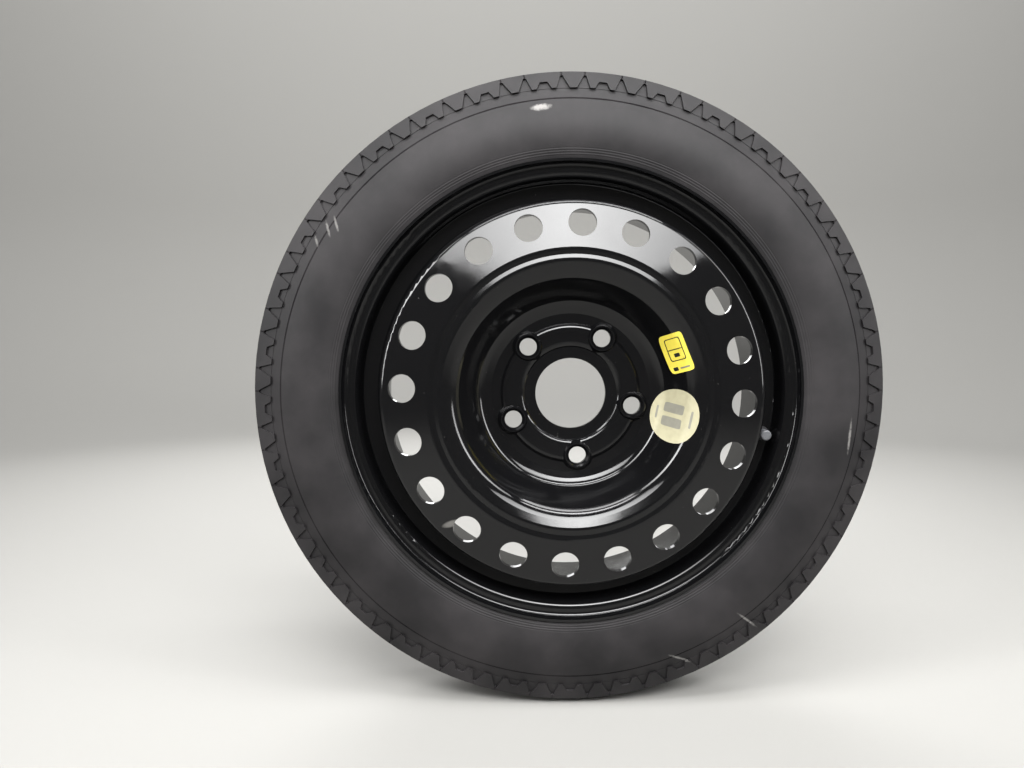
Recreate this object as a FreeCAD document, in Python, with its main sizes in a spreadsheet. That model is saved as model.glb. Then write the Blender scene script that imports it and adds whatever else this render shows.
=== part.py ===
import FreeCAD, Part
import math
import os

import Sketcher
from FreeCAD import Placement, Rotation, Vector

# Spare wheel: a narrow steel wheel with a pressed disc, a temporary-use tyre and a snap-in valve.
# The wheel turns about +Y, its street side faces -Y and +Z is up. The origin is the centre of the
# hub mounting face. Profiles are drawn with X as the radius and Y as the place along the axle.

doc = FreeCAD.newDocument("spare_wheel")

# Driving dimensions in millimetres and degrees, one row each: alias, value, meaning
driving_dimensions = [
    ("bore_diameter", 67.1, "centre bore"),
    ("bolt_circle", 120, "pitch circle of the wheel bolts"),
    ("bolt_count", 5, "wheel bolts"),
    ("bolt_hole_diameter", 16.5, "clear hole for a wheel bolt"),
    ("bolt_phase", 29.5, "first bolt hole, clockwise from the top seen from the street"),
    ("seat_diameter", 21.5, "mouth of the conical bolt seat"),
    ("seat_depth", 2.6, "depth of the conical bolt seat"),
    ("collar_diameter", 30, "foot of the raised collar round a bolt hole"),
    ("collar_draft", 3, "narrowing of the collar to its top"),
    ("collar_height", 1.6, "height of the collar above the bolt ring"),
    ("offset", 36, "mounting face to the rim's middle plane"),
    ("disc_sheet", 3.6, "disc metal"),
    ("ring_reach", 5.5, "bolt ring past the bolt circle"),
    ("ring_rise", 2.6, "rise of the bolt ring above the land"),
    ("ring_slope", 3, "width of each slope of the bolt ring"),
    ("ring_width", 14, "width of the bolt ring's top"),
    ("outer_land", 11, "width of the outer mounting land"),
    ("bowl_start", 13, "width of the bowl's gentle first rise"),
    ("bowl_start_rise", 4.2, "height of the bowl's gentle first rise"),
    ("bowl_wall", 22, "width of the bowl's steep wall"),
    ("bowl_wall_rise", 30.5, "height of the bowl's steep wall"),
    ("crown_slope", 12, "width of the last rise to the crown"),
    ("crown_rise", 5.3, "height of the last rise to the crown"),
    ("groove_width", 10, "width of the shallow groove behind the crown"),
    ("groove_drop", 1.2, "depth of the shallow groove"),
    ("cone_angle", 13, "fall of the vent cone"),
    ("small_bend", 3, "bends of the hub steps"),
    ("bowl_bend", 20, "bends of the bowl wall"),
    ("flange_bend", 2.6, "bend from the cone into the disc flange"),
    ("vent_circle", 310, "pitch circle of the vent holes"),
    ("vent_count", 20, "vent holes"),
    ("vent_diameter", 26, "vent hole"),
    ("vent_phase", 2.6, "first vent hole, clockwise from the top seen from the street"),
    ("rim_width", 101.6, "between the flanges' bead faces"),
    ("bead_seat_diameter", 405.6, "bead seat at the flange"),
    ("flange_height", 14.1, "flange above the bead seat"),
    ("flange_curl", 10.5, "reach of the flange past its bead face"),
    ("rim_sheet", 2.5, "rim metal"),
    ("seat_width", 20, "bead seat along the axle"),
    ("seat_fall", 1.7, "taper of the bead seat over its width"),
    ("well_depth", 21, "well below the bead seat"),
    ("street_wall", 2.5, "lean of the well's street wall along the axle"),
    ("well_width", 31, "floor of the well"),
    ("heel_bend", 5, "bend between bead seat and flange"),
    ("curl_bend", 7.5, "bend of the flange curl"),
    ("well_bend", 6, "bends of the well's car side"),
    ("wall_bend", 4, "bends of the well's street wall"),
    ("disc_flange_depth", 24, "disc flange inside the well"),
    ("weld_leg", 3.5, "leg of a weld bead"),
    ("weld_count", 8, "weld beads round the disc"),
    ("weld_span", 26, "arc of one weld bead in degrees"),
    ("tyre_diameter", 606.4, "over the tread"),
    ("tread_width", 98, "over the tread's edges"),
    ("tread_drop", 6, "crown of the tread down to its edge"),
    ("tread_flat", 54, "flat middle of the tread"),
    ("tread_round", 40, "rounding of the tread beside its flat middle"),
    ("tread_rubber", 12, "tread and belt"),
    ("tread_groove_width", 5, "groove round the tread"),
    ("tread_groove_depth", 4, "groove round the tread"),
    ("tread_groove_place", 14, "outer groove from the tread's middle"),
    ("tooth_height", 16, "tread edge down to the tips of the shoulder teeth"),
    ("shoulder_slope", 6, "lean of the shoulder teeth along the axle"),
    ("tread_step", 2.4, "teeth above the shoulder, along the axle"),
    ("pitch_count", 33, "repeats of the tread pattern"),
    ("wedge_tip", 5.5, "tip of the single wedge tooth"),
    ("gap_width", 13, "open gap beside the wedge tooth at the tips"),
    ("gap_height", 13, "height of the open gap"),
    ("gap_lean", 1.3, "top of the open gap away from the wedge tooth"),
    ("gap_top", 2.4, "open gap beside the wedge tooth at its top"),
    ("gap_sill", 0.3, "floor of the gaps above the shoulder"),
    ("notch_width", 15, "notch between the paired teeth at the tips"),
    ("notch_top", 7.3, "notch between the paired teeth at its top"),
    ("notch_height", 7, "height of the notch between the paired teeth"),
    ("shoulder_band", 10, "tips of the teeth down to the shoulder line"),
    ("shoulder_flare", 4.5, "shoulder line past the foot of the teeth along the axle"),
    ("sidewall_bulge", 5, "bulge of the sidewall between flange and shoulder line"),
    ("sidewall", 7, "sidewall rubber"),
    ("bead_gap", 0.2, "tyre to rim"),
    ("bead_width", 18, "bead along the axle"),
    ("guard_reach", 0.5, "tyre past the bend of the flange curl"),
    ("valve_phase", 102, "valve, clockwise from the top seen from the street"),
    ("valve_hole", 11.4, "valve hole in the rim"),
    ("valve_neck_gap", 0.1, "valve rubber in its hole"),
    ("valve_shoulder", 13.6, "valve rubber outside the rim"),
    ("valve_bulb", 15.5, "valve rubber inside the rim"),
    ("valve_edge", 1.2, "bevel of the valve rubber's lips"),
    ("bulb_length", 4.5, "length of the bulb inside the rim"),
    ("rubber_length", 13, "valve rubber outside the rim"),
    ("rubber_tip", 10.4, "valve rubber at its outer end"),
    ("stem_diameter", 6.4, "brass stem inside the rubber"),
    ("thread_diameter", 7.7, "cap thread of the stem"),
    ("thread_length", 9, "cap thread of the stem"),
    ("stem_bore", 4.4, "bore of the stem"),
    ("stem_throat", 3.2, "narrow bore at the stem's foot"),
    ("core_gap", 0.06, "valve core in its bore"),
    ("core_length", 9, "length of the core barrel"),
    ("core_sunk", 1.2, "core below the end of the stem"),
    ("core_bore", 2.4, "bore of the core barrel"),
    ("core_neck", 1.5, "narrow bore at the core's foot"),
    ("neck_length", 1, "length of the core's narrow bore"),
    ("pin_diameter", 1.2, "core pin"),
    ("pin_travel", 1.4, "stroke of the core pin"),
    ("cup_diameter", 3.4, "seal cup on the core pin"),
    ("cup_height", 2, "height of the seal cup"),
    ("pin_head", 0.6, "thickness of the pin's head and collar"),
    ("pin_head_diameter", 2.4, "head of the pin below its cup"),
    ("spring_height", 4.8, "spring at rest"),
    ("spring_wire", 0.3, "spring wire"),
    ("spring_diameter", 1.9, "spring at the middle of its wire"),
    ("spring_turns", 6, "turns of the spring"),
    ("cap_diameter", 10, "valve cap"),
    ("cap_gap", 0.1, "cap on its thread"),
    ("cap_roof", 1.8, "end wall of the cap"),
    ("cap_seal_height", 0.9, "washer inside the cap"),
    ("label_skin", 0.25, "label's outer face above the disc"),
    ("label_glue", 0.05, "glue under a label"),
    ("round_label_diameter", 48, "round label seen along the axle"),
    ("round_label_radius", 100.5, "round label's centre from the axle"),
    ("round_label_phase", 103.5, "round label, clockwise from the top seen from the street"),
    ("tall_label_width", 22, "oblong label across, seen along the axle"),
    ("tall_label_length", 37, "oblong label along the rim"),
    ("tall_label_radius", 103.5, "oblong label's centre from the axle"),
    ("tall_label_phase", 70, "oblong label, clockwise from the top seen from the street"),
    ("label_corner", 3, "corner rounding of the oblong label"),
]

sheet = doc.addObject("Spreadsheet::Sheet", "wheel")
for row, (alias, value, meaning) in enumerate(driving_dimensions, start=1):
    sheet.set(f"A{row}", meaning)
    sheet.set(f"B{row}", str(value))
    sheet.setAlias(f"B{row}", alias)
doc.recompute()


def bound(text):
    # Writes each bare size name of a formula as a reference to the sheet.
    words = {alias for alias, value, meaning in driving_dimensions}
    out = ""
    word = ""
    for letter in text + " ":
        if letter.isalnum() or letter == "_":
            word += letter
            continue
        out += ("wheel." + word if word in words else word) + letter
        word = ""
    return out.strip()


def size(text):
    value = sheet.evalExpression(text)
    return float(getattr(value, "Value", value))


def bind(item, **formulas):
    for name, text in formulas.items():
        item.setExpression(name.replace("__", "."), bound(text))


def profile(name, corners, closed=False, bulges={}):
    # A sketch through the corners, each a radius, a place along the axle and a bend radius or None.
    # A bulge makes the run that starts at its corner an arc, to the left of the way for a positive one.
    sketch = doc.addObject("Sketcher::SketchObject", name + "_profile")
    spots = [Vector(size(radius), size(along), 0) for radius, along, bend in corners]
    count = len(spots)
    runs = count if closed else count - 1
    ends = []
    for run in range(runs):
        first = spots[run]
        last = spots[(run + 1) % count]
        if run in bulges:
            way = last - first
            left = Vector(-way.y, way.x, 0).normalize()
            top = (first + last) / 2 + left * size(bulges[run])
            sketch.addGeometry(Part.Arc(first, top, last), False)
        else:
            sketch.addGeometry(Part.LineSegment(first, last), False)
        apart = [sketch.getPoint(run, end).distanceToPoint(first) for end in (1, 2)]
        ends.append((1, 2) if apart[0] < apart[1] else (2, 1))
    for run in range(runs if closed else runs - 1):
        after = (run + 1) % runs
        sketch.addConstraint(Sketcher.Constraint("Coincident", run, ends[run][1], after, ends[after][0]))
    formulas = {}
    for run, bulge in bulges.items():
        (radius, along, bend), (far_radius, far_along, far_bend) = corners[run], corners[(run + 1) % count]
        chord = f"sqrt(({far_radius} - ({radius}))^2 + ({far_along} - ({along}))^2)"
        arc_radius = f"{chord}^2 / (8 * abs({bulge})) + abs({bulge}) / 2"
        index = sketch.addConstraint(Sketcher.Constraint("Radius", run, size(arc_radius)))
        sketch.renameConstraint(index, f"bulge_{run}")
        formulas[f"bulge_{run}"] = arc_radius
    for corner, (radius, along, bend) in enumerate(corners):
        end = (corner, ends[corner][0]) if corner < runs else (corner - 1, ends[corner - 1][1])
        for kind, text in (("DistanceX", radius), ("DistanceY", along)):
            index = sketch.addConstraint(Sketcher.Constraint(kind, -1, 1, *end, size(text)))
            sketch.renameConstraint(index, f"{kind}_{corner}")
            formulas[f"{kind}_{corner}"] = text
    for corner, (radius, along, bend) in enumerate(corners):
        if bend is None:
            continue
        before = (corner - 1) % runs
        near = [spots[corner] + (spots[(corner + step) % count] - spots[corner]) * 0.1 for step in (-1, 1)]
        arc = sketch.GeometryCount
        sketch.fillet(before, corner, near[0], near[1], size(bend), True, True)
        index = sketch.addConstraint(Sketcher.Constraint("Radius", arc, size(bend)))
        sketch.renameConstraint(index, f"bend_{corner}")
        formulas[f"bend_{corner}"] = bend
    for constraint, text in formulas.items():
        sketch.setExpression("Constraints." + constraint, bound(text))
    return sketch


def turned(name, source, angle="360"):
    # Revolves a profile about the axle.
    solid = doc.addObject("Part::Revolution", name)
    solid.Source = source
    solid.Axis = Vector(0, 1, 0)
    solid.Base = Vector(0, 0, 0)
    solid.Solid = True
    bind(solid, Angle=angle)
    return solid


def banded(name, line, thickness):
    # Gives an open profile an even thickness.
    band = doc.addObject("Part::Offset2D", name + "_band")
    band.Source = line
    band.Mode = "Skin"
    band.Fill = True
    bind(band, Value=thickness)
    return band


def clock(degrees):
    # Turns a piece from the top of the wheel to a place read clockwise from the street side.
    return Rotation(Vector(0, 1, 0), degrees)


# Places along the axle and radii that several pieces share
street_face = "(offset - rim_width / 2)"
car_face = "(offset + rim_width / 2)"
seat_radius = "bead_seat_diameter / 2"
flange_radius = f"({seat_radius} + flange_height)"
well_radius = f"({seat_radius} - well_depth)"
well_under = f"({seat_radius} - well_depth - rim_sheet)"
wall_top = f"({street_face} + seat_width)"
well_start = f"({wall_top} + street_wall)"
well_end = f"({well_start} + well_width)"
flange_end = f"({well_start} + disc_flange_depth)"

# Rim: one rolled section with two flanges, two bead seats and a well
rim_line = profile("rim", [
    (flange_radius, f"{street_face} - flange_curl", None),
    (flange_radius, street_face, "curl_bend"),
    (seat_radius, street_face, "heel_bend"),
    (f"{seat_radius} - seat_fall", wall_top, "wall_bend"),
    (well_radius, well_start, "wall_bend"),
    (well_radius, well_end, "well_bend"),
    (f"{seat_radius} - seat_fall", f"{car_face} - seat_width", "well_bend"),
    (seat_radius, car_face, "heel_bend"),
    (flange_radius, car_face, "curl_bend"),
    (flange_radius, f"{car_face} + flange_curl", None),
])
rim_rolled = turned("rim_rolled", banded("rim", rim_line, "-rim_sheet"))

# Disc: pressed sheet with a stepped hub, a bowl, a vent cone and a flange that fits the well
ring_outer = "(bolt_circle / 2 + ring_reach)"
ring_inner = f"({ring_outer} - 2 * ring_slope - ring_width)"
bowl_foot = f"({ring_outer} + outer_land)"
wall_foot = f"({bowl_foot} + bowl_start)"
wall_head = f"({wall_foot} + bowl_wall)"
crown_edge = f"({wall_head} + crown_slope)"
cone_edge = f"({crown_edge} + groove_width)"
crown_height = "(bowl_start_rise + bowl_wall_rise + crown_rise)"
flange_inner = f"({well_under} - disc_sheet)"


def cone_height(radius):
    return f"({crown_height} - ({radius} - {cone_edge}) * tan(cone_angle * 1 deg))"


disc_line = profile("disc", [
    ("bore_diameter / 2", "0", None),
    (ring_inner, "0", "small_bend"),
    (f"{ring_inner} + ring_slope", "-ring_rise", "small_bend"),
    (f"{ring_outer} - ring_slope", "-ring_rise", "small_bend"),
    (ring_outer, "0", "small_bend"),
    (bowl_foot, "0", "small_bend"),
    (wall_foot, "-bowl_start_rise", "bowl_bend"),
    (wall_head, "-(bowl_start_rise + bowl_wall_rise)", "bowl_bend"),
    (crown_edge, f"-{crown_height}", "small_bend"),
    (f"{crown_edge} + groove_width / 2", f"groove_drop - {crown_height}", "small_bend"),
    (cone_edge, f"-{crown_height}", "small_bend"),
    (flange_inner, f"-{cone_height(flange_inner)}", "flange_bend"),
    (flange_inner, flange_end, None),
])
disc_pressing = turned("disc_pressing", banded("disc", disc_line, "disc_sheet"))
doc.recompute()


def origin_feature(body, role):
    return next(item for item in body.Origin.OriginFeatures if item.Role == role)


def around_axle(body, features, count, name):
    # Repeats features of a body evenly about the axle.
    pattern = body.newObject("PartDesign::PolarPattern", name)
    pattern.Originals = features
    pattern.Axis = (origin_feature(body, "Y_Axis"), [""])
    pattern.Angle = 360
    bind(pattern, Occurrences=count)
    body.Tip = pattern
    doc.recompute()
    return pattern


def street_peg(body, kind, name, phase, radius, height, tilt="0"):
    # A round feature at the given place on the disc, with its own axis towards the street.
    peg = body.newObject("PartDesign::" + kind, name)
    outward = Vector(0, -size(height), size(radius))
    lean = Rotation(Vector(1, 0, 0), 90 - size(tilt))
    peg.Placement = Placement(clock(size(phase)).multVec(outward), clock(size(phase)).multiply(lean))
    return peg


disc = doc.addObject("PartDesign::Body", "disc")
disc.BaseFeature = disc_pressing
doc.recompute()
bolt_radius = "bolt_circle / 2"
ring_front = "(ring_rise + disc_sheet)"
collar_foot = "ring_rise + disc_sheet / 2"
collar = street_peg(disc, "AdditiveCone", "bolt_collar", "bolt_phase", bolt_radius, collar_foot)
bind(collar, Radius1="collar_diameter / 2", Radius2="collar_diameter / 2 - collar_draft",
     Height="disc_sheet / 2 + collar_height")
around_axle(disc, [collar], "bolt_count", "bolt_collars")
bolt_hole = street_peg(disc, "SubtractiveCylinder", "bolt_hole", "bolt_phase", bolt_radius, "-disc_sheet")
bind(bolt_hole, Radius="bolt_hole_diameter / 2", Height="ring_rise + 3 * disc_sheet + collar_height")
around_axle(disc, [bolt_hole], "bolt_count", "bolt_holes")
seat_foot = f"{ring_front} + collar_height - seat_depth"
bolt_seat = street_peg(disc, "SubtractiveCone", "bolt_seat", "bolt_phase", bolt_radius, seat_foot)
bind(bolt_seat, Radius1="bolt_hole_diameter / 2", Radius2="seat_diameter / 2", Height="seat_depth")
around_axle(disc, [bolt_seat], "bolt_count", "bolt_seats")
vent_height = f"{cone_height('vent_circle / 2')} - 2 * disc_sheet"
vent = street_peg(disc, "SubtractiveCylinder", "vent_hole", "vent_phase", "vent_circle / 2", vent_height,
                  "cone_angle")
bind(vent, Radius="vent_diameter / 2", Height="5 * disc_sheet")
around_axle(disc, [vent], "vent_count", "vent_holes")

# Weld beads: fillets between the end of the disc flange and the underside of the well
bead_profile = profile("weld_bead", [
    (well_under, flange_end, None),
    (well_under, f"{flange_end} + weld_leg", None),
    (f"{well_under} - weld_leg", flange_end, None),
], closed=True)
beads = []
for place in range(int(size("weld_count"))):
    bead = turned(f"weld_bead_{place + 1}", bead_profile, "weld_span")
    bead.Placement = Placement(Vector(), clock(360 * place / size("weld_count")))
    beads.append(bead)
weld_beads = doc.addObject("Part::Compound", "weld_beads")
weld_beads.Links = beads

# Tyre: a hollow rubber ring on the bead seats, mirrored about the rim's middle plane. The tread is a
# layer that stands above the shoulders and ends on each in a row of teeth.
tyre_radius = "tyre_diameter / 2"
heel = "(rim_width / 2 - bead_gap)"
guard_radius = f"({flange_radius} + bead_gap)"
guard_end = f"({heel} + bead_gap + curl_bend + guard_reach)"
edge_radius = f"({tyre_radius} - tread_drop)"
tip_radius = f"({edge_radius} - tooth_height)"
tip_along = "(tread_width / 2 + shoulder_slope)"
line_radius = f"({tip_radius} - shoulder_band)"
line_along = f"({tip_along} - tread_step + shoulder_flare)"
seat_taper = "(seat_fall * bead_width / seat_width)"
cavity_radius = f"({tyre_radius} - tread_rubber)"
groove_radius = f"({tyre_radius} - tread_groove_depth)"
outer_half = [
    (f"{seat_radius} + bead_gap - {seat_taper}", f"{heel} - bead_width", None),
    (f"{seat_radius} + bead_gap", heel, "heel_bend - bead_gap"),
    (guard_radius, heel, "curl_bend + bead_gap"),
    (guard_radius, guard_end, None),
    (line_radius, line_along, None),
    (tip_radius, f"{tip_along} - tread_step", None),
    (tip_radius, tip_along, None),
    (edge_radius, "tread_width / 2", None),
    (tyre_radius, "tread_flat / 2", "tread_round"),
    (tyre_radius, "tread_groove_place + tread_groove_width / 2", None),
    (groove_radius, "tread_groove_place + tread_groove_width / 2", None),
    (groove_radius, "tread_groove_place - tread_groove_width / 2", None),
    (tyre_radius, "tread_groove_place - tread_groove_width / 2", None),
    (tyre_radius, "tread_groove_width / 2", None),
    (groove_radius, "tread_groove_width / 2", None),
]
inner_half = [
    (cavity_radius, "tread_flat / 2", "tread_round"),
    (f"{cavity_radius} - tread_drop", "tread_width / 2 - sidewall", None),
    (line_radius, f"{line_along} - sidewall", None),
    (guard_radius, f"{guard_end} - sidewall", None),
    (f"{seat_radius} + flange_height / 2", f"{heel} - bead_width / 2", None),
]


def on_side(sign, half):
    return [(radius, f"offset {sign} ({reach})", bend) for radius, reach, bend in half]


outer_line = on_side("-", outer_half) + on_side("+", outer_half[::-1])
inner_line = on_side("+", inner_half[::-1]) + on_side("-", inner_half)
tyre_corners = outer_line + inner_line
first_inner = len(outer_line)
last_inner = len(tyre_corners) - 1
sidewall_runs = {
    3: "-sidewall_bulge",
    first_inner - 5: "-sidewall_bulge",
    first_inner + 1: "sidewall_bulge",
    last_inner - 2: "sidewall_bulge",
}
tyre_moulded = turned("tyre_moulded", profile("tyre", tyre_corners, closed=True, bulges=sidewall_runs))
doc.recompute()

tyre = doc.addObject("PartDesign::Body", "tyre")
tyre.BaseFeature = tyre_moulded
doc.recompute()
shoulder_lean = math.degrees(math.atan2(size("shoulder_slope"), size("tooth_height")))
pitch = f"(2 * pi * {tip_radius} / pitch_count)"


def tooth_gap(side, name, place, corners):
    # A flat-floored gap in the row of teeth of one side, a distance round the tips from the top. It is
    # drawn on the teeth's slope, with X round the tyre and Y upward from the tips.
    outline = profile(f"{side}_{name}", corners, closed=True)
    tyre.addObject(outline)
    turn = clock(360 * place / (size(pitch) * size("pitch_count")))
    way = turn.multiply(Rotation(Vector(0, 0, 1), 0 if side == "street" else 180))
    face = way.multiply(Rotation(Vector(1, 0, 0), 90 - shoulder_lean))
    tip = Vector(0, size("offset"), 0) + way.multVec(Vector(0, -size(tip_along), size(tip_radius)))
    outline.Placement = Placement(tip + face.multVec(Vector(0, 0, size("tread_step"))), face)
    gap = tyre.newObject("PartDesign::Pocket", f"{side}_{name}")
    gap.Profile = outline
    bind(gap, Length=f"tread_step * (1 + cos({shoulder_lean} deg)) - gap_sill")
    return gap


gap_place = "(wedge_tip + gap_width) / 2"
gap_foot = "-tread_step / 2"
for side, shift in (("street", "0"), ("car", f"{pitch} / 2")):
    cuts = [tooth_gap(side, "notch", size(f"{shift} + {pitch} / 2"), [
        ("-notch_width / 2", gap_foot, None),
        ("notch_width / 2", gap_foot, None),
        ("notch_top / 2", "notch_height", None),
        ("-notch_top / 2", "notch_height", None),
    ])]
    for name, sign in (("left", "-"), ("right", "+")):
        top = f"{sign}gap_lean"
        cuts.append(tooth_gap(side, f"{name}_gap", size(f"{shift} {sign} {gap_place}"), [
            ("-gap_width / 2", gap_foot, None),
            ("gap_width / 2", gap_foot, None),
            (f"{top} + gap_top / 2", "gap_height", None),
            (f"{top} - gap_top / 2", "gap_height", None),
        ]))
    around_axle(tyre, cuts, "pitch_count", f"{side}_teeth")

# Valve: a rubber body snapped into the rim, a brass stem with its core, and a cap.
# Its pieces are drawn with Y along the valve, outward from the rim's surface.
wall_run = "(well_depth - seat_fall)"
valve_tilt = math.degrees(math.atan2(size("street_wall"), size(wall_run)))
wall_radius = f"{seat_radius} - seat_fall - {wall_run} / 2"
wall_middle = Vector(0, size(f"{wall_top} + street_wall / 2"), size(wall_radius))
valve_turn = Rotation(Vector(1, 0, 0), 180 + valve_tilt)
valve_out = valve_turn.multVec(Vector(0, 1, 0))
valve_foot = wall_middle + valve_out * size("rim_sheet")
valve_spin = clock(size("valve_phase"))
valve_place = Placement(valve_spin.multVec(valve_foot), valve_spin.multiply(valve_turn))


def valve_piece(name, corners):
    piece = turned(name, profile(name, corners, closed=True))
    piece.Placement = valve_place
    return piece


rim_hole = doc.addObject("Part::Cylinder", "valve_hole")
hole_start = Placement(Vector(0, -2 * size("rim_sheet"), 0), Rotation(Vector(1, 0, 0), -90))
rim_hole.Placement = valve_place.multiply(hole_start)
bind(rim_hole, Radius="valve_hole / 2", Height="4 * rim_sheet")
rim = doc.addObject("Part::Cut", "rim")
rim.Base = rim_rolled
rim.Tool = rim_hole

stem_foot = "-(rim_sheet + bulb_length)"
stem_end = "(rubber_length + thread_length)"
neck_radius = "valve_hole / 2 - valve_neck_gap"
valve_body = valve_piece("valve_body", [
    ("stem_diameter / 2", stem_foot, None),
    ("valve_bulb / 2 - valve_edge", stem_foot, None),
    ("valve_bulb / 2", f"{stem_foot} + valve_edge", None),
    ("valve_bulb / 2", "-rim_sheet - valve_neck_gap - valve_edge", None),
    ("valve_bulb / 2 - valve_edge", "-rim_sheet - valve_neck_gap", None),
    (neck_radius, "-rim_sheet - valve_neck_gap", None),
    (neck_radius, "valve_neck_gap", None),
    ("valve_shoulder / 2 - valve_edge / 2", "valve_neck_gap", None),
    ("valve_shoulder / 2", "valve_neck_gap + valve_edge", None),
    ("valve_shoulder / 2", "2 * valve_edge", None),
    ("rubber_tip / 2", "rubber_length - valve_edge", None),
    ("rubber_tip / 2 - valve_edge / 2", "rubber_length", None),
    ("stem_diameter / 2", "rubber_length", None),
])
core_end = f"({stem_end} - core_sunk)"
core_foot = f"({core_end} - core_length)"
chamber_foot = f"({core_foot} - cup_height - pin_head - 2 * pin_travel)"
valve_stem = valve_piece("valve_stem", [
    ("stem_throat / 2", stem_foot, None),
    ("stem_diameter / 2", stem_foot, None),
    ("stem_diameter / 2", "rubber_length", None),
    ("thread_diameter / 2", "rubber_length", None),
    ("thread_diameter / 2", stem_end, None),
    ("stem_bore / 2", stem_end, None),
    ("stem_bore / 2", chamber_foot, None),
    ("stem_throat / 2", chamber_foot, None),
])
core_barrel = valve_piece("core_barrel", [
    ("core_neck / 2", core_foot, None),
    ("stem_bore / 2 - core_gap", core_foot, None),
    ("stem_bore / 2 - core_gap", core_end, None),
    ("core_bore / 2", core_end, None),
    ("core_bore / 2", f"{core_foot} + neck_length", None),
    ("core_neck / 2", f"{core_foot} + neck_length", None),
])
spring_foot = f"({core_foot} + neck_length)"
pin_collar = f"({spring_foot} + spring_height)"
cup_foot = f"({core_foot} - cup_height)"
core_pin = valve_piece("core_pin", [
    ("0", f"{cup_foot} - pin_head", None),
    ("pin_head_diameter / 2", f"{cup_foot} - pin_head", None),
    ("pin_head_diameter / 2", cup_foot, None),
    ("pin_diameter / 2", cup_foot, None),
    ("pin_diameter / 2", pin_collar, None),
    ("core_bore / 2 - 2 * core_gap", pin_collar, None),
    ("core_bore / 2 - 2 * core_gap", f"{pin_collar} + pin_head", None),
    ("pin_diameter / 2", f"{pin_collar} + pin_head", None),
    ("pin_diameter / 2", f"{stem_end} - pin_head / 2", None),
    ("0", f"{stem_end} - pin_head / 2", None),
])
core_seal = valve_piece("core_seal", [
    ("pin_diameter / 2", cup_foot, None),
    ("cup_diameter / 2", cup_foot, None),
    ("cup_diameter / 2", core_foot, None),
    ("pin_diameter / 2", core_foot, None),
])
helix = doc.addObject("Part::Helix", "spring_line")
bind(helix, Radius="spring_diameter / 2", Height="spring_height - spring_wire",
     Pitch="(spring_height - spring_wire) / spring_turns")
helix.SegmentLength = 0
wire = doc.addObject("Part::Circle", "spring_wire_section")
bind(wire, Radius="spring_wire / 2")
wire.Placement = Placement(Vector(size("spring_diameter / 2"), 0, 0), Rotation(Vector(1, 0, 0), 90))
core_spring = doc.addObject("Part::Sweep", "core_spring")
core_spring.Sections = [wire]
core_spring.Spine = (helix, ["Edge1"])
core_spring.Solid = True
core_spring.Frenet = True
spring_start = Vector(0, size(f"{spring_foot} + spring_wire / 2"), 0)
spring_seat = Placement(spring_start, Rotation(Vector(1, 0, 0), -90))
core_spring.Placement = valve_place.multiply(spring_seat)

cap_foot = "(rubber_length + 4 * cap_gap)"
cap_inside = f"({stem_end} + cap_seal_height)"
valve_cap = valve_piece("valve_cap", [
    ("thread_diameter / 2 + cap_gap", cap_foot, None),
    ("cap_diameter / 2", cap_foot, None),
    ("cap_diameter / 2", f"{cap_inside} + cap_roof", "cap_roof"),
    ("0", f"{cap_inside} + cap_roof", None),
    ("0", cap_inside, None),
    ("thread_diameter / 2 + cap_gap", cap_inside, None),
])
cap_seal = valve_piece("cap_seal", [
    ("stem_bore / 2", stem_end, None),
    ("thread_diameter / 2", stem_end, None),
    ("thread_diameter / 2", cap_inside, None),
    ("stem_bore / 2", cap_inside, None),
])

# Labels: thin skins on the street side of the bowl, cut to their outlines along the axle
labelled = turned("labelled_disc", banded("labelled_disc", disc_line, "disc_sheet + label_skin"))
glued = turned("glued_disc", banded("glued_disc", disc_line, "disc_sheet + label_glue"))


def label(name, outline):
    stamped = doc.addObject("Part::Common", name + "_stamped")
    stamped.Base = labelled
    stamped.Tool = outline
    skin = doc.addObject("Part::Cut", name)
    skin.Base = stamped
    skin.Tool = glued
    return skin


reach = f"2 * ({crown_height} + disc_sheet)"


def over_disc(phase, radius):
    turn = clock(size(phase))
    start = Vector(0, size("disc_sheet"), size(radius))
    return Placement(turn.multVec(start), turn.multiply(Rotation(Vector(1, 0, 0), 90)))


round_outline = doc.addObject("Part::Cylinder", "round_outline")
bind(round_outline, Radius="round_label_diameter / 2", Height=reach)
round_outline.Placement = over_disc("round_label_phase", "round_label_radius")
round_label = label("round_label", round_outline)

across = "tall_label_width / 2"
along = "tall_label_length / 2"
tall_profile = profile("tall_label", [
    (f"-{along}", f"-{across}", "label_corner"),
    (along, f"-{across}", "label_corner"),
    (along, across, "label_corner"),
    (f"-{along}", across, "label_corner"),
], closed=True)
tall_outline = doc.addObject("Part::Extrusion", "tall_outline")
tall_outline.Base = tall_profile
tall_outline.DirMode = "Custom"
tall_outline.Dir = Vector(0, 0, 1)
tall_outline.Solid = True
bind(tall_outline, LengthFwd=reach)
tall_outline.Placement = over_disc("tall_label_phase", "tall_label_radius")
tall_label = label("tall_label", tall_outline)

doc.recompute()

pieces = [
    tyre, rim, disc, weld_beads, valve_body, valve_stem, core_barrel, core_pin, core_seal, core_spring,
    valve_cap, cap_seal, round_label, tall_label,
]
for item in doc.Objects:
    if "Invalid" in item.State or "Error" in item.State:
        raise RuntimeError(f"{item.Name} failed: {item.State}")
for piece in pieces:
    if piece.Shape.isNull() or not piece.Shape.isValid():
        raise RuntimeError(f"{piece.Label} has no valid shape")
os.makedirs("parts", exist_ok=True)
for piece in pieces:
    piece.Shape.exportStep(f"parts/{piece.Label}.step")
    print(piece.Label, len(piece.Shape.Solids), round(piece.Shape.Volume / 1000, 3), piece.Shape.BoundBox)
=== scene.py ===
import math

import bmesh
import bpy
from mathutils import Matrix, Vector
from mathutils.bvhtree import BVHTree


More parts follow.
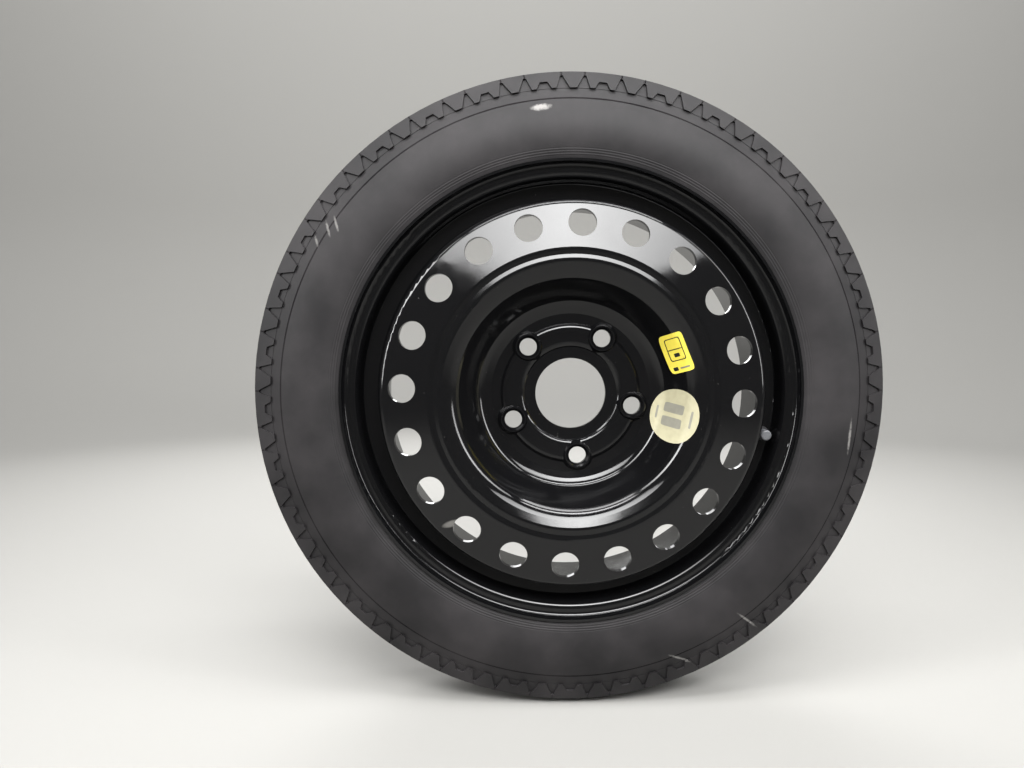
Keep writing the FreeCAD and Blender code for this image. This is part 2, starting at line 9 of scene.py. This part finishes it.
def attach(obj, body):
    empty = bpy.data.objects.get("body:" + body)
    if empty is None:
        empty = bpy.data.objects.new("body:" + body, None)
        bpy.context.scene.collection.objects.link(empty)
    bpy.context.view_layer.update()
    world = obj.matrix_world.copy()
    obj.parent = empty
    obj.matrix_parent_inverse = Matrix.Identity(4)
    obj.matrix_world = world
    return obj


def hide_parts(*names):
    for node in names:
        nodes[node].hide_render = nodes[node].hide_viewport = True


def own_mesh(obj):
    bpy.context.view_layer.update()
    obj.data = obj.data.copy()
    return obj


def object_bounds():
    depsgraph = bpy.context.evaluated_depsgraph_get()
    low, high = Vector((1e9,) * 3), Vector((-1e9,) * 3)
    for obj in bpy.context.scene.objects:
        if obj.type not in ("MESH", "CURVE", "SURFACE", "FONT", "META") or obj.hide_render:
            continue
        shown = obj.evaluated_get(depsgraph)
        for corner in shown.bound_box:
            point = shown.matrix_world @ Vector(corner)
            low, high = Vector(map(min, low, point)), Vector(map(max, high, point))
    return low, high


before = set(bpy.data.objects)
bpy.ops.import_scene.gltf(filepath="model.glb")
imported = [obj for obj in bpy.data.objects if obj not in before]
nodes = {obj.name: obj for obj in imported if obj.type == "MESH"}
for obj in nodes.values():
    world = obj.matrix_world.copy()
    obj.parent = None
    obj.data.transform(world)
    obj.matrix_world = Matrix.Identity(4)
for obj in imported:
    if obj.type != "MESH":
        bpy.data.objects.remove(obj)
cadLow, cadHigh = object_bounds()
print("frame loaded:", len(nodes), "nodes")


def hexToLinear(code):
    parts = [int(code[place:place + 2], 16) / 255 for place in (1, 3, 5)]
    return tuple(c / 12.92 if c <= 0.04045 else ((c + 0.055) / 1.055) ** 2.4 for c in parts) + (1.0,)


def addNode(tree, kind, settings={}, values={}, links={}):
    node = tree.nodes.new(kind)
    for name, value in settings.items():
        setattr(node, name, value)
    for name, value in values.items():
        node.inputs[name].default_value = value
    for name, source in links.items():
        tree.links.new(source, node.inputs[name])
    return node


def addObject(name, data):
    thing = bpy.data.objects.new(name, data)
    bpy.context.scene.collection.objects.link(thing)
    return thing


def startMaterial(name, values):
    material = bpy.data.materials.new(name)
    material.use_nodes = True
    tree = material.node_tree
    tree.nodes.clear()
    shader = addNode(tree, "ShaderNodeBsdfPrincipled", values=values)
    addNode(tree, "ShaderNodeOutputMaterial", links={"Surface": shader.outputs["BSDF"]})
    place = addNode(tree, "ShaderNodeTexCoord").outputs["Object"]
    return material, tree, shader, place


def perMetre(millimetres):
    return 1000 / millimetres   # texture scale for features of this size


def dress(name, material):
    slots = nodes[name].data.materials
    slots.clear()
    slots.append(material)


# Tyre: vulcanised rubber from a satin mould, a matt dark grey that goes paler where it catches the lamps,
# with a dusty bloom in broad patches, handling rubs, fine rings near the rim, a line round the shoulder and
# closed slits from the gaps in the tread's edge, each a small sunken bump darkened by painted shade (its
# shine switched off). Patch, grain and streak are in millimetres
tyreLook = {
    "index": 1.52, "shine": 0.2, "roughness": (0.46, 0.62),
    "dark": "#181718", "bloom": "#2a2829", "bloomFade": (0.36, 0.72), "patch": 70,
    "grain": 1.1, "grainStrength": 0.05, "grainDepth": 0.0004,
    "ringFrom": 0.2195, "ringTo": 0.2265, "ringPitch": 0.0022, "ringStrength": 0.25, "ringDepth": 0.0006,
    "lineRadius": 0.2712, "lineWidth": 0.0014, "lineStrength": 0.9, "lineDepth": 0.0008,
    "slitCount": 33, "slitPlace": 0.195, "slitHalf": 0.0105,   # place and half width as shares of a pitch
    "slitFrom": 0.2935, "slitIn": 0.032,   # least radius and least distance from the tread's middle
    "rub": "#8d8b88", "rubStreak": 2.5, "rubFade": (0.08, 0.34),
    "rubs": [   # place, reach, turn and strength of each rub, on the street side
        ((-0.030, -0.024, 0.262), (0.013, 0.05, 0.0045), -8, 0.85),
        ((-0.217, -0.026, 0.157), (0.0018, 0.05, 0.011), -17, 0.4),
        ((-0.225, -0.026, 0.153), (0.0018, 0.05, 0.011), -17, 0.4),
        ((-0.236, -0.026, 0.142), (0.0018, 0.05, 0.009), -17, 0.35),
        ((0.262, -0.026, -0.040), (0.002, 0.05, 0.022), 4, 0.5),
        ((0.170, -0.022, -0.218), (0.018, 0.05, 0.0018), 38, 0.5),
        ((0.105, -0.022, -0.255), (0.016, 0.05, 0.0018), 22, 0.5),
    ],
}
tyreRubber, tree, shader, place = startMaterial("satinMouldedTyreRubber", {"IOR": tyreLook["index"]})
patch = addNode(tree, "ShaderNodeTexNoise", values={
    "Scale": perMetre(tyreLook["patch"]), "Detail": 5.0, "Roughness": 0.6}, links={"Vector": place})
bloom = addNode(tree, "ShaderNodeValToRGB", links={"Fac": patch.outputs["Fac"]})
bloom.color_ramp.elements[0].position = tyreLook["bloomFade"][0]
bloom.color_ramp.elements[0].color = hexToLinear(tyreLook["dark"])
bloom.color_ramp.elements[1].position = tyreLook["bloomFade"][1]
bloom.color_ramp.elements[1].color = hexToLinear(tyreLook["bloom"])
colour = bloom.outputs["Color"]
streak = addNode(tree, "ShaderNodeTexNoise", values={
    "Scale": perMetre(tyreLook["rubStreak"]), "Detail": 3.0}, links={"Vector": place})
for centre, reach, turn, strength in tyreLook["rubs"]:
    spot = addNode(tree, "ShaderNodeMapping", settings={"vector_type": "TEXTURE"}, values={
        "Location": centre, "Rotation": (0, math.radians(turn), 0), "Scale": reach}, links={"Vector": place})
    fade = addNode(tree, "ShaderNodeTexGradient", settings={"gradient_type": "SPHERICAL"},
                   links={"Vector": spot.outputs["Vector"]})
    broken = addNode(tree, "ShaderNodeMath", settings={"operation": "MULTIPLY"},
                     links={0: fade.outputs["Fac"], 1: streak.outputs["Fac"]})
    edge = addNode(tree, "ShaderNodeMapRange", values={
        "From Min": tyreLook["rubFade"][0], "From Max": tyreLook["rubFade"][1], "To Max": strength},
        links={"Value": broken.outputs["Value"]})
    mixed = addNode(tree, "ShaderNodeMix", settings={"data_type": "RGBA"},
                    values={7: hexToLinear(tyreLook["rub"])}, links={0: edge.outputs["Result"], 6: colour})
    colour = mixed.outputs[2]
tree.links.new(colour, shader.inputs["Base Color"])
polish = addNode(tree, "ShaderNodeMapRange", values={
    "To Min": tyreLook["roughness"][0], "To Max": tyreLook["roughness"][1]},
    links={"Value": patch.outputs["Fac"]})
tree.links.new(polish.outputs["Result"], shader.inputs["Roughness"])

# Rings, line and slits, by the distance from the axle and the turn round it
flat = addNode(tree, "ShaderNodeVectorMath", settings={"operation": "MULTIPLY"}, values={1: (1, 0, 1)},
               links={0: place})
radius = addNode(tree, "ShaderNodeVectorMath", settings={"operation": "LENGTH"},
                 links={0: flat.outputs["Vector"]}).outputs["Value"]
turns = addNode(tree, "ShaderNodeMath", settings={"operation": "MULTIPLY"},
                values={1: 2 * math.pi / tyreLook["ringPitch"]}, links={0: radius})
wave = addNode(tree, "ShaderNodeMath", settings={"operation": "SINE"}, links={0: turns.outputs["Value"]})
above = addNode(tree, "ShaderNodeMath", settings={"operation": "GREATER_THAN"},
                values={1: tyreLook["ringFrom"]}, links={0: radius})
below = addNode(tree, "ShaderNodeMath", settings={"operation": "LESS_THAN"},
                values={1: tyreLook["ringTo"]}, links={0: radius})
band = addNode(tree, "ShaderNodeMath", settings={"operation": "MULTIPLY"},
               links={0: above.outputs["Value"], 1: below.outputs["Value"]})
rings = addNode(tree, "ShaderNodeMath", settings={"operation": "MULTIPLY"},
                links={0: band.outputs["Value"], 1: wave.outputs["Value"]})
ringBump = addNode(tree, "ShaderNodeBump", values={
    "Strength": tyreLook["ringStrength"], "Distance": tyreLook["ringDepth"]},
    links={"Height": rings.outputs["Value"]})
across = [corner.co.y for corner in nodes["tyre"].data.vertices]
middle = (min(across) + max(across)) / 2
axes = addNode(tree, "ShaderNodeSeparateXYZ", links={"Vector": place})
turned = addNode(tree, "ShaderNodeMath", settings={"operation": "ARCTAN2"},
                 links={0: axes.outputs["X"], 1: axes.outputs["Z"]})
pitches = addNode(tree, "ShaderNodeMath", settings={"operation": "MULTIPLY"},
                  values={1: tyreLook["slitCount"] / (2 * math.pi)}, links={0: turned.outputs["Value"]})
within = addNode(tree, "ShaderNodeMath", settings={"operation": "WRAP"}, values={1: 0.5, 2: -0.5},
                 links={0: pitches.outputs["Value"]})
aside = addNode(tree, "ShaderNodeMath", settings={"operation": "ABSOLUTE"},
                links={0: within.outputs["Value"]})
slit = addNode(tree, "ShaderNodeMath", settings={"operation": "COMPARE"},
               values={1: tyreLook["slitPlace"], 2: tyreLook["slitHalf"]}, links={0: aside.outputs["Value"]})
outside = addNode(tree, "ShaderNodeMath", settings={"operation": "GREATER_THAN"},
                  values={1: tyreLook["slitFrom"]}, links={0: radius})
offMiddle = addNode(tree, "ShaderNodeMath", settings={"operation": "SUBTRACT"}, values={1: middle},
                    links={0: axes.outputs["Y"]})
farOff = addNode(tree, "ShaderNodeMath", settings={"operation": "ABSOLUTE"},
                 links={0: offMiddle.outputs["Value"]})
edgeward = addNode(tree, "ShaderNodeMath", settings={"operation": "GREATER_THAN"},
                   values={1: tyreLook["slitIn"]}, links={0: farOff.outputs["Value"]})
onEdge = addNode(tree, "ShaderNodeMath", settings={"operation": "MULTIPLY"},
                 links={0: outside.outputs["Value"], 1: edgeward.outputs["Value"]})
cut = addNode(tree, "ShaderNodeMath", settings={"operation": "MULTIPLY"},
              links={0: slit.outputs["Value"], 1: onEdge.outputs["Value"]})
near = addNode(tree, "ShaderNodeMath", settings={"operation": "COMPARE"},
               values={1: tyreLook["lineRadius"], 2: tyreLook["lineWidth"] / 2}, links={0: radius})
grooveDipAndShade = addNode(tree, "ShaderNodeMath", settings={"operation": "MAXIMUM"},
               links={0: near.outputs["Value"], 1: cut.outputs["Value"]})
# Painted shade: along the shoulder line and in the slits the shine is switched off, so they read dark like
# the shade in a groove; the bump below sinks them a little
shine = addNode(tree, "ShaderNodeMapRange", values={"To Min": tyreLook["shine"], "To Max": 0.0},
                links={"Value": grooveDipAndShade.outputs["Value"]})
tree.links.new(shine.outputs["Result"], shader.inputs["Specular IOR Level"])
lineBump = addNode(tree, "ShaderNodeBump", settings={"invert": True}, values={
    "Strength": tyreLook["lineStrength"], "Distance": tyreLook["lineDepth"]},
    links={"Height": grooveDipAndShade.outputs["Value"], "Normal": ringBump.outputs["Normal"]})
grain = addNode(tree, "ShaderNodeTexNoise", values={
    "Scale": perMetre(tyreLook["grain"]), "Detail": 2.0}, links={"Vector": place})
grainBump = addNode(tree, "ShaderNodeBump", values={
    "Strength": tyreLook["grainStrength"], "Distance": tyreLook["grainDepth"]},
    links={"Height": grain.outputs["Fac"], "Normal": lineBump.outputs["Normal"]})
tree.links.new(grainBump.outputs["Normal"], shader.inputs["Normal"])
dress("tyre", tyreRubber)
print("tyre dressed")

# Rim and disc: pressed steel, dipped black and stoved, a deep gloss with a trace of orange peel that mirrors
# the lamps, broken by settled dust and a dull handling mark. Smear, speck and peel are in millimetres
paintLook = {
    "index": 1.42, "black": "#0a0a0b", "dust": "#6e6c68",
    "smear": 45, "smearFade": (0.35, 0.75), "roughness": (0.05, 0.16),
    "speck": 2.2, "speckFrom": 0.73, "speckFade": 0.08, "speckShare": 0.4,
    "peel": 4.0, "peelStrength": 0.01, "peelDepth": 0.0005,
    "markPlace": (-0.112, -0.03, -0.118), "markReach": (0.012, 0.06, 0.004), "markTurn": -20,
    "markFade": (0.1, 0.5), "markShare": 0.6,
}


def blackEnamel(name, speckFrom):
    material, tree, shader, place = startMaterial(name, {"IOR": paintLook["index"]})
    smear = addNode(tree, "ShaderNodeTexNoise", values={
        "Scale": perMetre(paintLook["smear"]), "Detail": 6.0, "Roughness": 0.65}, links={"Vector": place})
    dull = addNode(tree, "ShaderNodeMapRange", values={
        "From Min": paintLook["smearFade"][0], "From Max": paintLook["smearFade"][1],
        "To Min": paintLook["roughness"][0], "To Max": paintLook["roughness"][1]},
        links={"Value": smear.outputs["Fac"]})
    speck = addNode(tree, "ShaderNodeTexNoise", values={
        "Scale": perMetre(paintLook["speck"]), "Detail": 4.0}, links={"Vector": place})
    settled = addNode(tree, "ShaderNodeMapRange", values={
        "From Min": speckFrom, "From Max": speckFrom + paintLook["speckFade"],
        "To Max": paintLook["speckShare"]}, links={"Value": speck.outputs["Fac"]})
    spot = addNode(tree, "ShaderNodeMapping", settings={"vector_type": "TEXTURE"}, values={
        "Location": paintLook["markPlace"], "Rotation": (0, math.radians(paintLook["markTurn"]), 0),
        "Scale": paintLook["markReach"]}, links={"Vector": place})
    scrape = addNode(tree, "ShaderNodeTexGradient", settings={"gradient_type": "SPHERICAL"},
                     links={"Vector": spot.outputs["Vector"]})
    scraped = addNode(tree, "ShaderNodeMapRange", values={
        "From Min": paintLook["markFade"][0], "From Max": paintLook["markFade"][1],
        "To Max": paintLook["markShare"]}, links={"Value": scrape.outputs["Fac"]})
    pale = addNode(tree, "ShaderNodeMath", settings={"operation": "MAXIMUM"},
                   links={0: settled.outputs["Result"], 1: scraped.outputs["Result"]})
    coloured = addNode(tree, "ShaderNodeMix", settings={"data_type": "RGBA"}, values={
        6: hexToLinear(paintLook["black"]), 7: hexToLinear(paintLook["dust"])},
        links={0: pale.outputs["Value"]})
    rough = addNode(tree, "ShaderNodeMath", settings={"operation": "ADD", "use_clamp": True},
                    links={0: dull.outputs["Result"], 1: pale.outputs["Value"]})
    peel = addNode(tree, "ShaderNodeTexNoise", values={
        "Scale": perMetre(paintLook["peel"]), "Detail": 1.0}, links={"Vector": place})
    bump = addNode(tree, "ShaderNodeBump", values={
        "Strength": paintLook["peelStrength"], "Distance": paintLook["peelDepth"]},
        links={"Height": peel.outputs["Fac"]})
    tree.links.new(coloured.outputs[2], shader.inputs["Base Color"])
    tree.links.new(rough.outputs["Value"], shader.inputs["Roughness"])
    tree.links.new(bump.outputs["Normal"], shader.inputs["Normal"])
    return material, tree, shader, place


pressedEnamel = blackEnamel("glossBlackEnamelOnSteel", paintLook["speckFrom"])[0]
dress("disc", pressedEnamel)
dress("rim", pressedEnamel)

# Weld beads: the same enamel over the stepped ripples of a weld run, a step in millimetres
weldLook = {"speckFrom": 0.64, "step": 3.0, "strength": 0.5, "depth": 0.001}
weldEnamel, tree, shader, place = blackEnamel("blackEnamelOnWeld", weldLook["speckFrom"])
ripple = addNode(tree, "ShaderNodeTexNoise", values={
    "Scale": perMetre(weldLook["step"]), "Detail": 1.0}, links={"Vector": place})
rippled = addNode(tree, "ShaderNodeBump", values={
    "Strength": weldLook["strength"], "Distance": weldLook["depth"]},
    links={"Height": ripple.outputs["Fac"]})
tree.links.new(rippled.outputs["Normal"], shader.inputs["Normal"])
dress("weld_beads", weldEnamel)
print("rim and disc dressed")

# Valve: moulded rubber body, brass stem and core, spring steel and a grey moulded cap, each with the fine
# grain of its mould or die, and a little handling dirt that takes the shine off
valveLook = {   # finish, tone, roughness, metal share, refractive index, grain in millimetres
    "valve_body": ("mouldedValveRubber", "#202022", 0.55, 0.0, 1.52, 0.9),
    "core_seal": ("mouldedSealRubber", "#1c1c1e", 0.5, 0.0, 1.52, 0.5),
    "cap_seal": ("mouldedWasherRubber", "#2a2a2b", 0.5, 0.0, 1.52, 0.5),
    "valve_stem": ("drawnBrass", "#b5985a", 0.3, 1.0, 1.5, 0.6),
    "core_barrel": ("turnedBrass", "#b99a58", 0.28, 1.0, 1.5, 0.4),
    "core_pin": ("drawnBrassPin", "#bb9d5c", 0.25, 1.0, 1.5, 0.3),
    "core_spring": ("springSteel", "#8f9092", 0.3, 1.0, 1.5, 0.2),
    "valve_cap": ("mouldedGreyPlastic", "#58595c", 0.42, 0.0, 1.49, 0.8),
}
dirtLook = {"shade": 0.72, "fade": (0.3, 0.62), "smoother": 0.06, "rougher": 0.1, "strength": 0.15,
            "depth": 0.0001}
for name, (finish, code, rough, metal, index, grainSize) in valveLook.items():
    material, tree, shader, place = startMaterial(finish, {"Metallic": metal, "IOR": index})
    grain = addNode(tree, "ShaderNodeTexNoise", values={"Scale": perMetre(grainSize), "Detail": 3.0},
                    links={"Vector": place})
    shade = addNode(tree, "ShaderNodeValToRGB", links={"Fac": grain.outputs["Fac"]})
    tone = hexToLinear(code)
    shade.color_ramp.elements[0].position = dirtLook["fade"][0]
    shade.color_ramp.elements[0].color = tuple(dirtLook["shade"] * part for part in tone[:3]) + (1.0,)
    shade.color_ramp.elements[1].position = dirtLook["fade"][1]
    shade.color_ramp.elements[1].color = tone
    worn = addNode(tree, "ShaderNodeMapRange", values={
        "To Min": rough - dirtLook["smoother"], "To Max": rough + dirtLook["rougher"]},
        links={"Value": grain.outputs["Fac"]})
    bump = addNode(tree, "ShaderNodeBump", values={
        "Strength": dirtLook["strength"], "Distance": dirtLook["depth"]},
        links={"Height": grain.outputs["Fac"]})
    tree.links.new(shade.outputs["Color"], shader.inputs["Base Color"])
    tree.links.new(worn.outputs["Result"], shader.inputs["Roughness"])
    tree.links.new(bump.outputs["Normal"], shader.inputs["Normal"])
    dress(name, material)

# Core spring: the same wire as the CAD node, as its own object on the wheel, with the CAD node hidden
wire = nodes["core_spring"].data.copy()
spring = addObject("core_spring_wire", wire)
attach(spring, "wheel")
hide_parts("core_spring")
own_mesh(spring)
print("valve dressed")

# Labels: coated paper with a satin laminate over flat colour, faintly mottled and rubbed, laid on the bowl.
# A printed field is its centre, half size, squareness and ink. Sizes run round the wheel and outward, in
# millimetres seen along the axle
labelLook = {
    "round_label": {"finish": "creamCoatedPaper", "tone": "#9f9a7f", "slot": "label_cream", "phase": 101.8,
                    "radius": 97.7, "half": (25.2, 19.0), "square": 2, "fields": [
                        ((-6.6, -1.0), (4.6, 7.2), 8, "grey"), ((6.6, -1.0), (4.6, 7.2), 8, "grey"),
                        ((0.0, 12.6), (8.0, 0.9), 8, "grey"), ((0.0, -13.2), (6.0, 0.9), 8, "grey"),
                    ]},
    "tall_label": {"finish": "yellowCoatedPaper", "tone": "#dccb4c", "slot": "label_yellow", "phase": 67.7,
                   "radius": 103.2, "half": (18.8, 9.1), "square": 9, "fields": [
                       ((-3.6, 0.0), (11.0, 5.8), 12, "black"), ((-3.6, 0.0), (10.1, 5.1), 12, "yellow"),
                       ((-3.6, 0.0), (0.5, 5.2), 12, "black"), ((2.0, 0.0), (1.8, 2.0), 12, "black"),
                       ((14.6, -4.6), (1.7, 1.7), 12, "black"), ((14.6, 2.4), (0.8, 3.6), 12, "grey"),
                   ]},
}
inkLook = {"black": ("blackPrintingInk", "#161616"), "grey": ("greyPrintingInk", "#77756a"),
           "yellow": ("yellowPrintingInk", "#dccb4c")}
paperLook = {"index": 1.47, "mottle": 6, "shade": 0.88, "fade": (0.3, 0.6), "roughness": (0.35, 0.55)}
sheetLook = {"ringStep": 1.6, "leastRings": 3, "spokes": 72, "lift": 0.15, "printLift": 0.19,
             "printStep": 0.02}
streetward = -0.2   # a place along the axle, in metres, that is clear of the wheel on the street side


def coatedPaper(name, code):
    material, tree, shader, place = startMaterial(name, {"IOR": paperLook["index"]})
    mottle = addNode(tree, "ShaderNodeTexNoise", values={
        "Scale": perMetre(paperLook["mottle"]), "Detail": 4.0}, links={"Vector": place})
    tone = hexToLinear(code)
    shade = addNode(tree, "ShaderNodeValToRGB", links={"Fac": mottle.outputs["Fac"]})
    shade.color_ramp.elements[0].position = paperLook["fade"][0]
    shade.color_ramp.elements[0].color = tuple(paperLook["shade"] * part for part in tone[:3]) + (1.0,)
    shade.color_ramp.elements[1].position = paperLook["fade"][1]
    shade.color_ramp.elements[1].color = tone
    worn = addNode(tree, "ShaderNodeMapRange", values={
        "To Min": paperLook["roughness"][0], "To Max": paperLook["roughness"][1]},
        links={"Value": mottle.outputs["Fac"]})
    tree.links.new(shade.outputs["Color"], shader.inputs["Base Color"])
    tree.links.new(worn.outputs["Result"], shader.inputs["Roughness"])
    return material


pressing = BVHTree.FromPolygons([corner.co for corner in nodes["disc"].data.vertices],
                                [facet.vertices for facet in nodes["disc"].data.polygons])


def layOnDisc(name, layout, centre, half, square, lift, material):
    # a sheet of rings and spokes in a rounded outline, dropped along the axle onto the pressing
    turn = math.radians(layout["phase"])
    outward = Vector((math.sin(turn), 0, math.cos(turn)))
    onward = Vector((math.cos(turn), 0, -math.sin(turn)))
    rings = max(sheetLook["leastRings"], round(max(half) / sheetLook["ringStep"]))
    spokes = sheetLook["spokes"]
    sheet = bmesh.new()
    rows = []
    for ring in range(rings + 1):
        row = []
        for spoke in range(spokes):
            angle = 2 * math.pi * spoke / spokes
            cosine, sine = math.cos(angle), math.sin(angle)
            reach = ring / rings * (abs(cosine) ** square + abs(sine) ** square) ** (-1 / square)
            across = (centre[0] + half[0] * reach * cosine) / 1000
            out = (layout["radius"] + centre[1] + half[1] * reach * sine) / 1000
            spot = outward * out + onward * across
            start = Vector((spot.x, streetward, spot.z))
            hit, normal = pressing.ray_cast(start, Vector((0, 1, 0)))[:2]
            row.append(sheet.verts.new(hit + normal * lift / 1000))
        rows.append(row)
    for inner, outer in zip(rows, rows[1:]):
        for spoke in range(spokes):
            after = (spoke + 1) % spokes
            sheet.faces.new((inner[spoke], outer[spoke], outer[after], inner[after]))
    bmesh.ops.remove_doubles(sheet, verts=sheet.verts, dist=1e-6)
    bmesh.ops.recalc_face_normals(sheet, faces=sheet.faces)
    for face in sheet.faces:
        face.smooth = True
    data = bpy.data.meshes.new(name)
    sheet.to_mesh(data)
    sheet.free()
    data.materials.append(material)
    piece = addObject(name, data)
    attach(piece, "wheel")
    return piece


inks = {ink: coatedPaper(finish, code) for ink, (finish, code) in inkLook.items()}
for name, layout in labelLook.items():
    paper = coatedPaper(layout["finish"], layout["tone"])
    dress(name, paper)
    label = layOnDisc(name + "_sheet", layout, (0, 0), layout["half"], layout["square"], sheetLook["lift"],
                      paper)
    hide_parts(name)
    for index, (centre, half, square, ink) in enumerate(layout["fields"]):
        lift = sheetLook["printLift"] + sheetLook["printStep"] * index
        layOnDisc(f"{name}_print_{index + 1}", layout, centre, half, square, lift, inks[ink])
print("labels laid and printed")

# Stage: a pale floor that curves up into a wall all round, soft boxes and tubes, and a dim room
stageLook = {"tone": "#93928f", "roughness": 0.9, "shine": 0.2, "reach": 3.0, "cove": 0.9, "coveSteps": 12,
             "height": 3.4, "sides": 96}
floorLevel = cadLow.z
stageMesh = bmesh.new()
outline = [(0.0, 0.0), (stageLook["reach"] - stageLook["cove"], 0.0)]
for step in range(1, stageLook["coveSteps"] + 1):
    angle = math.pi / 2 * step / stageLook["coveSteps"]
    outline.append((stageLook["reach"] - stageLook["cove"] * (1 - math.sin(angle)),
                    stageLook["cove"] * (1 - math.cos(angle))))
outline.append((stageLook["reach"], stageLook["height"]))
line = [stageMesh.verts.new((reach, 0, floorLevel + rise)) for reach, rise in outline]
edges = [stageMesh.edges.new(pair) for pair in zip(line, line[1:])]
bmesh.ops.spin(stageMesh, geom=line + edges, cent=(0, 0, 0), axis=(0, 0, 1), angle=2 * math.pi,
               steps=stageLook["sides"])
bmesh.ops.remove_doubles(stageMesh, verts=stageMesh.verts, dist=1e-5)
for face in stageMesh.faces:
    face.smooth = True
stageData = bpy.data.meshes.new("paleFloor")
stageMesh.to_mesh(stageData)
stageMesh.free()
floor = addObject("paleFloor", stageData)
paleWash = startMaterial("mattWallWash", {   # an even, shineless ground that leaves the lamps to the wheel
    "Base Color": hexToLinear(stageLook["tone"]), "Roughness": stageLook["roughness"],
    "Specular IOR Level": stageLook["shine"]})[0]
stageData.materials.append(paleWash)

lampLook = {   # place, aim, width, height, watts, spread in degrees
    "frontTopBox": ((0.12, -1.52, 1.16), (0.0, 0.0, 0.05), 2.2, 0.6, 20, 80),
    "overheadTube": ((0.1, -0.4, 2.1), (0.0, 0.5, 0.0), 2.6, 0.3, 36, 180),
    "nearTube": ((0.1, -1.0, 2.1), (0.0, 0.0, 0.0), 2.6, 0.24, 18, 110),
    "wallWash": ((0.0, 0.9, 2.6), (0.0, 3.0, 1.0), 2.6, 0.4, 75, 150),
    "leftStrip": ((-1.7, -0.95, 0.95), (0.0, 0.0, 0.1), 0.3, 2.2, 10, 80),
    "rightStrip": ((1.8, -0.95, 0.85), (0.0, 0.0, 0.1), 0.3, 2.0, 6, 80),
    "backFill": ((-0.4, 2.1, 1.2), (0.0, 0.1, 0.0), 1.8, 1.0, 28, 120),
}
for name, (spot, aim, width, height, watts, spread) in lampLook.items():
    lamp = bpy.data.lights.new(name, "AREA")
    lamp.shape = "RECTANGLE"
    lamp.size = width
    lamp.size_y = height
    lamp.energy = watts
    lamp.spread = math.radians(spread)
    box = addObject(name, lamp)
    box.location = spot
    box.rotation_euler = (Vector(aim) - Vector(spot)).to_track_quat("-Z", "Y").to_euler()
    box.visible_camera = False
roomLook = {"tone": "#bfc3c8", "strength": 0.15}
room = bpy.data.worlds.new("dimRoom")
bpy.context.scene.world = room
room.use_nodes = True
air = room.node_tree.nodes["Background"].inputs
air["Color"].default_value = hexToLinear(roomLook["tone"])
air["Strength"].default_value = roomLook["strength"]
print("stage lit")

# Camera: the photograph's own viewpoint, a little left of the axle and above it
cameraLook = {"place": (-0.07034, -0.75449, 0.06287), "aim": (0.0192, 0.99723, -0.0719),
              "up": (0.00138, 0.07189, 0.99741), "lens": 27.716, "sensor": 36}
eye = bpy.data.cameras.new("photoView")
eye.lens = cameraLook["lens"]
eye.sensor_width = cameraLook["sensor"]
camera = addObject("photoView", eye)
back = -Vector(cameraLook["aim"]).normalized()
up = Vector(cameraLook["up"]).normalized()
side = up.cross(back)
facing = Matrix((side, up, back)).transposed().to_4x4()
camera.matrix_world = Matrix.Translation(cameraLook["place"]) @ facing
bpy.context.scene.camera = camera
bpy.context.scene.view_settings.view_transform = "Standard"

print("scene ready")
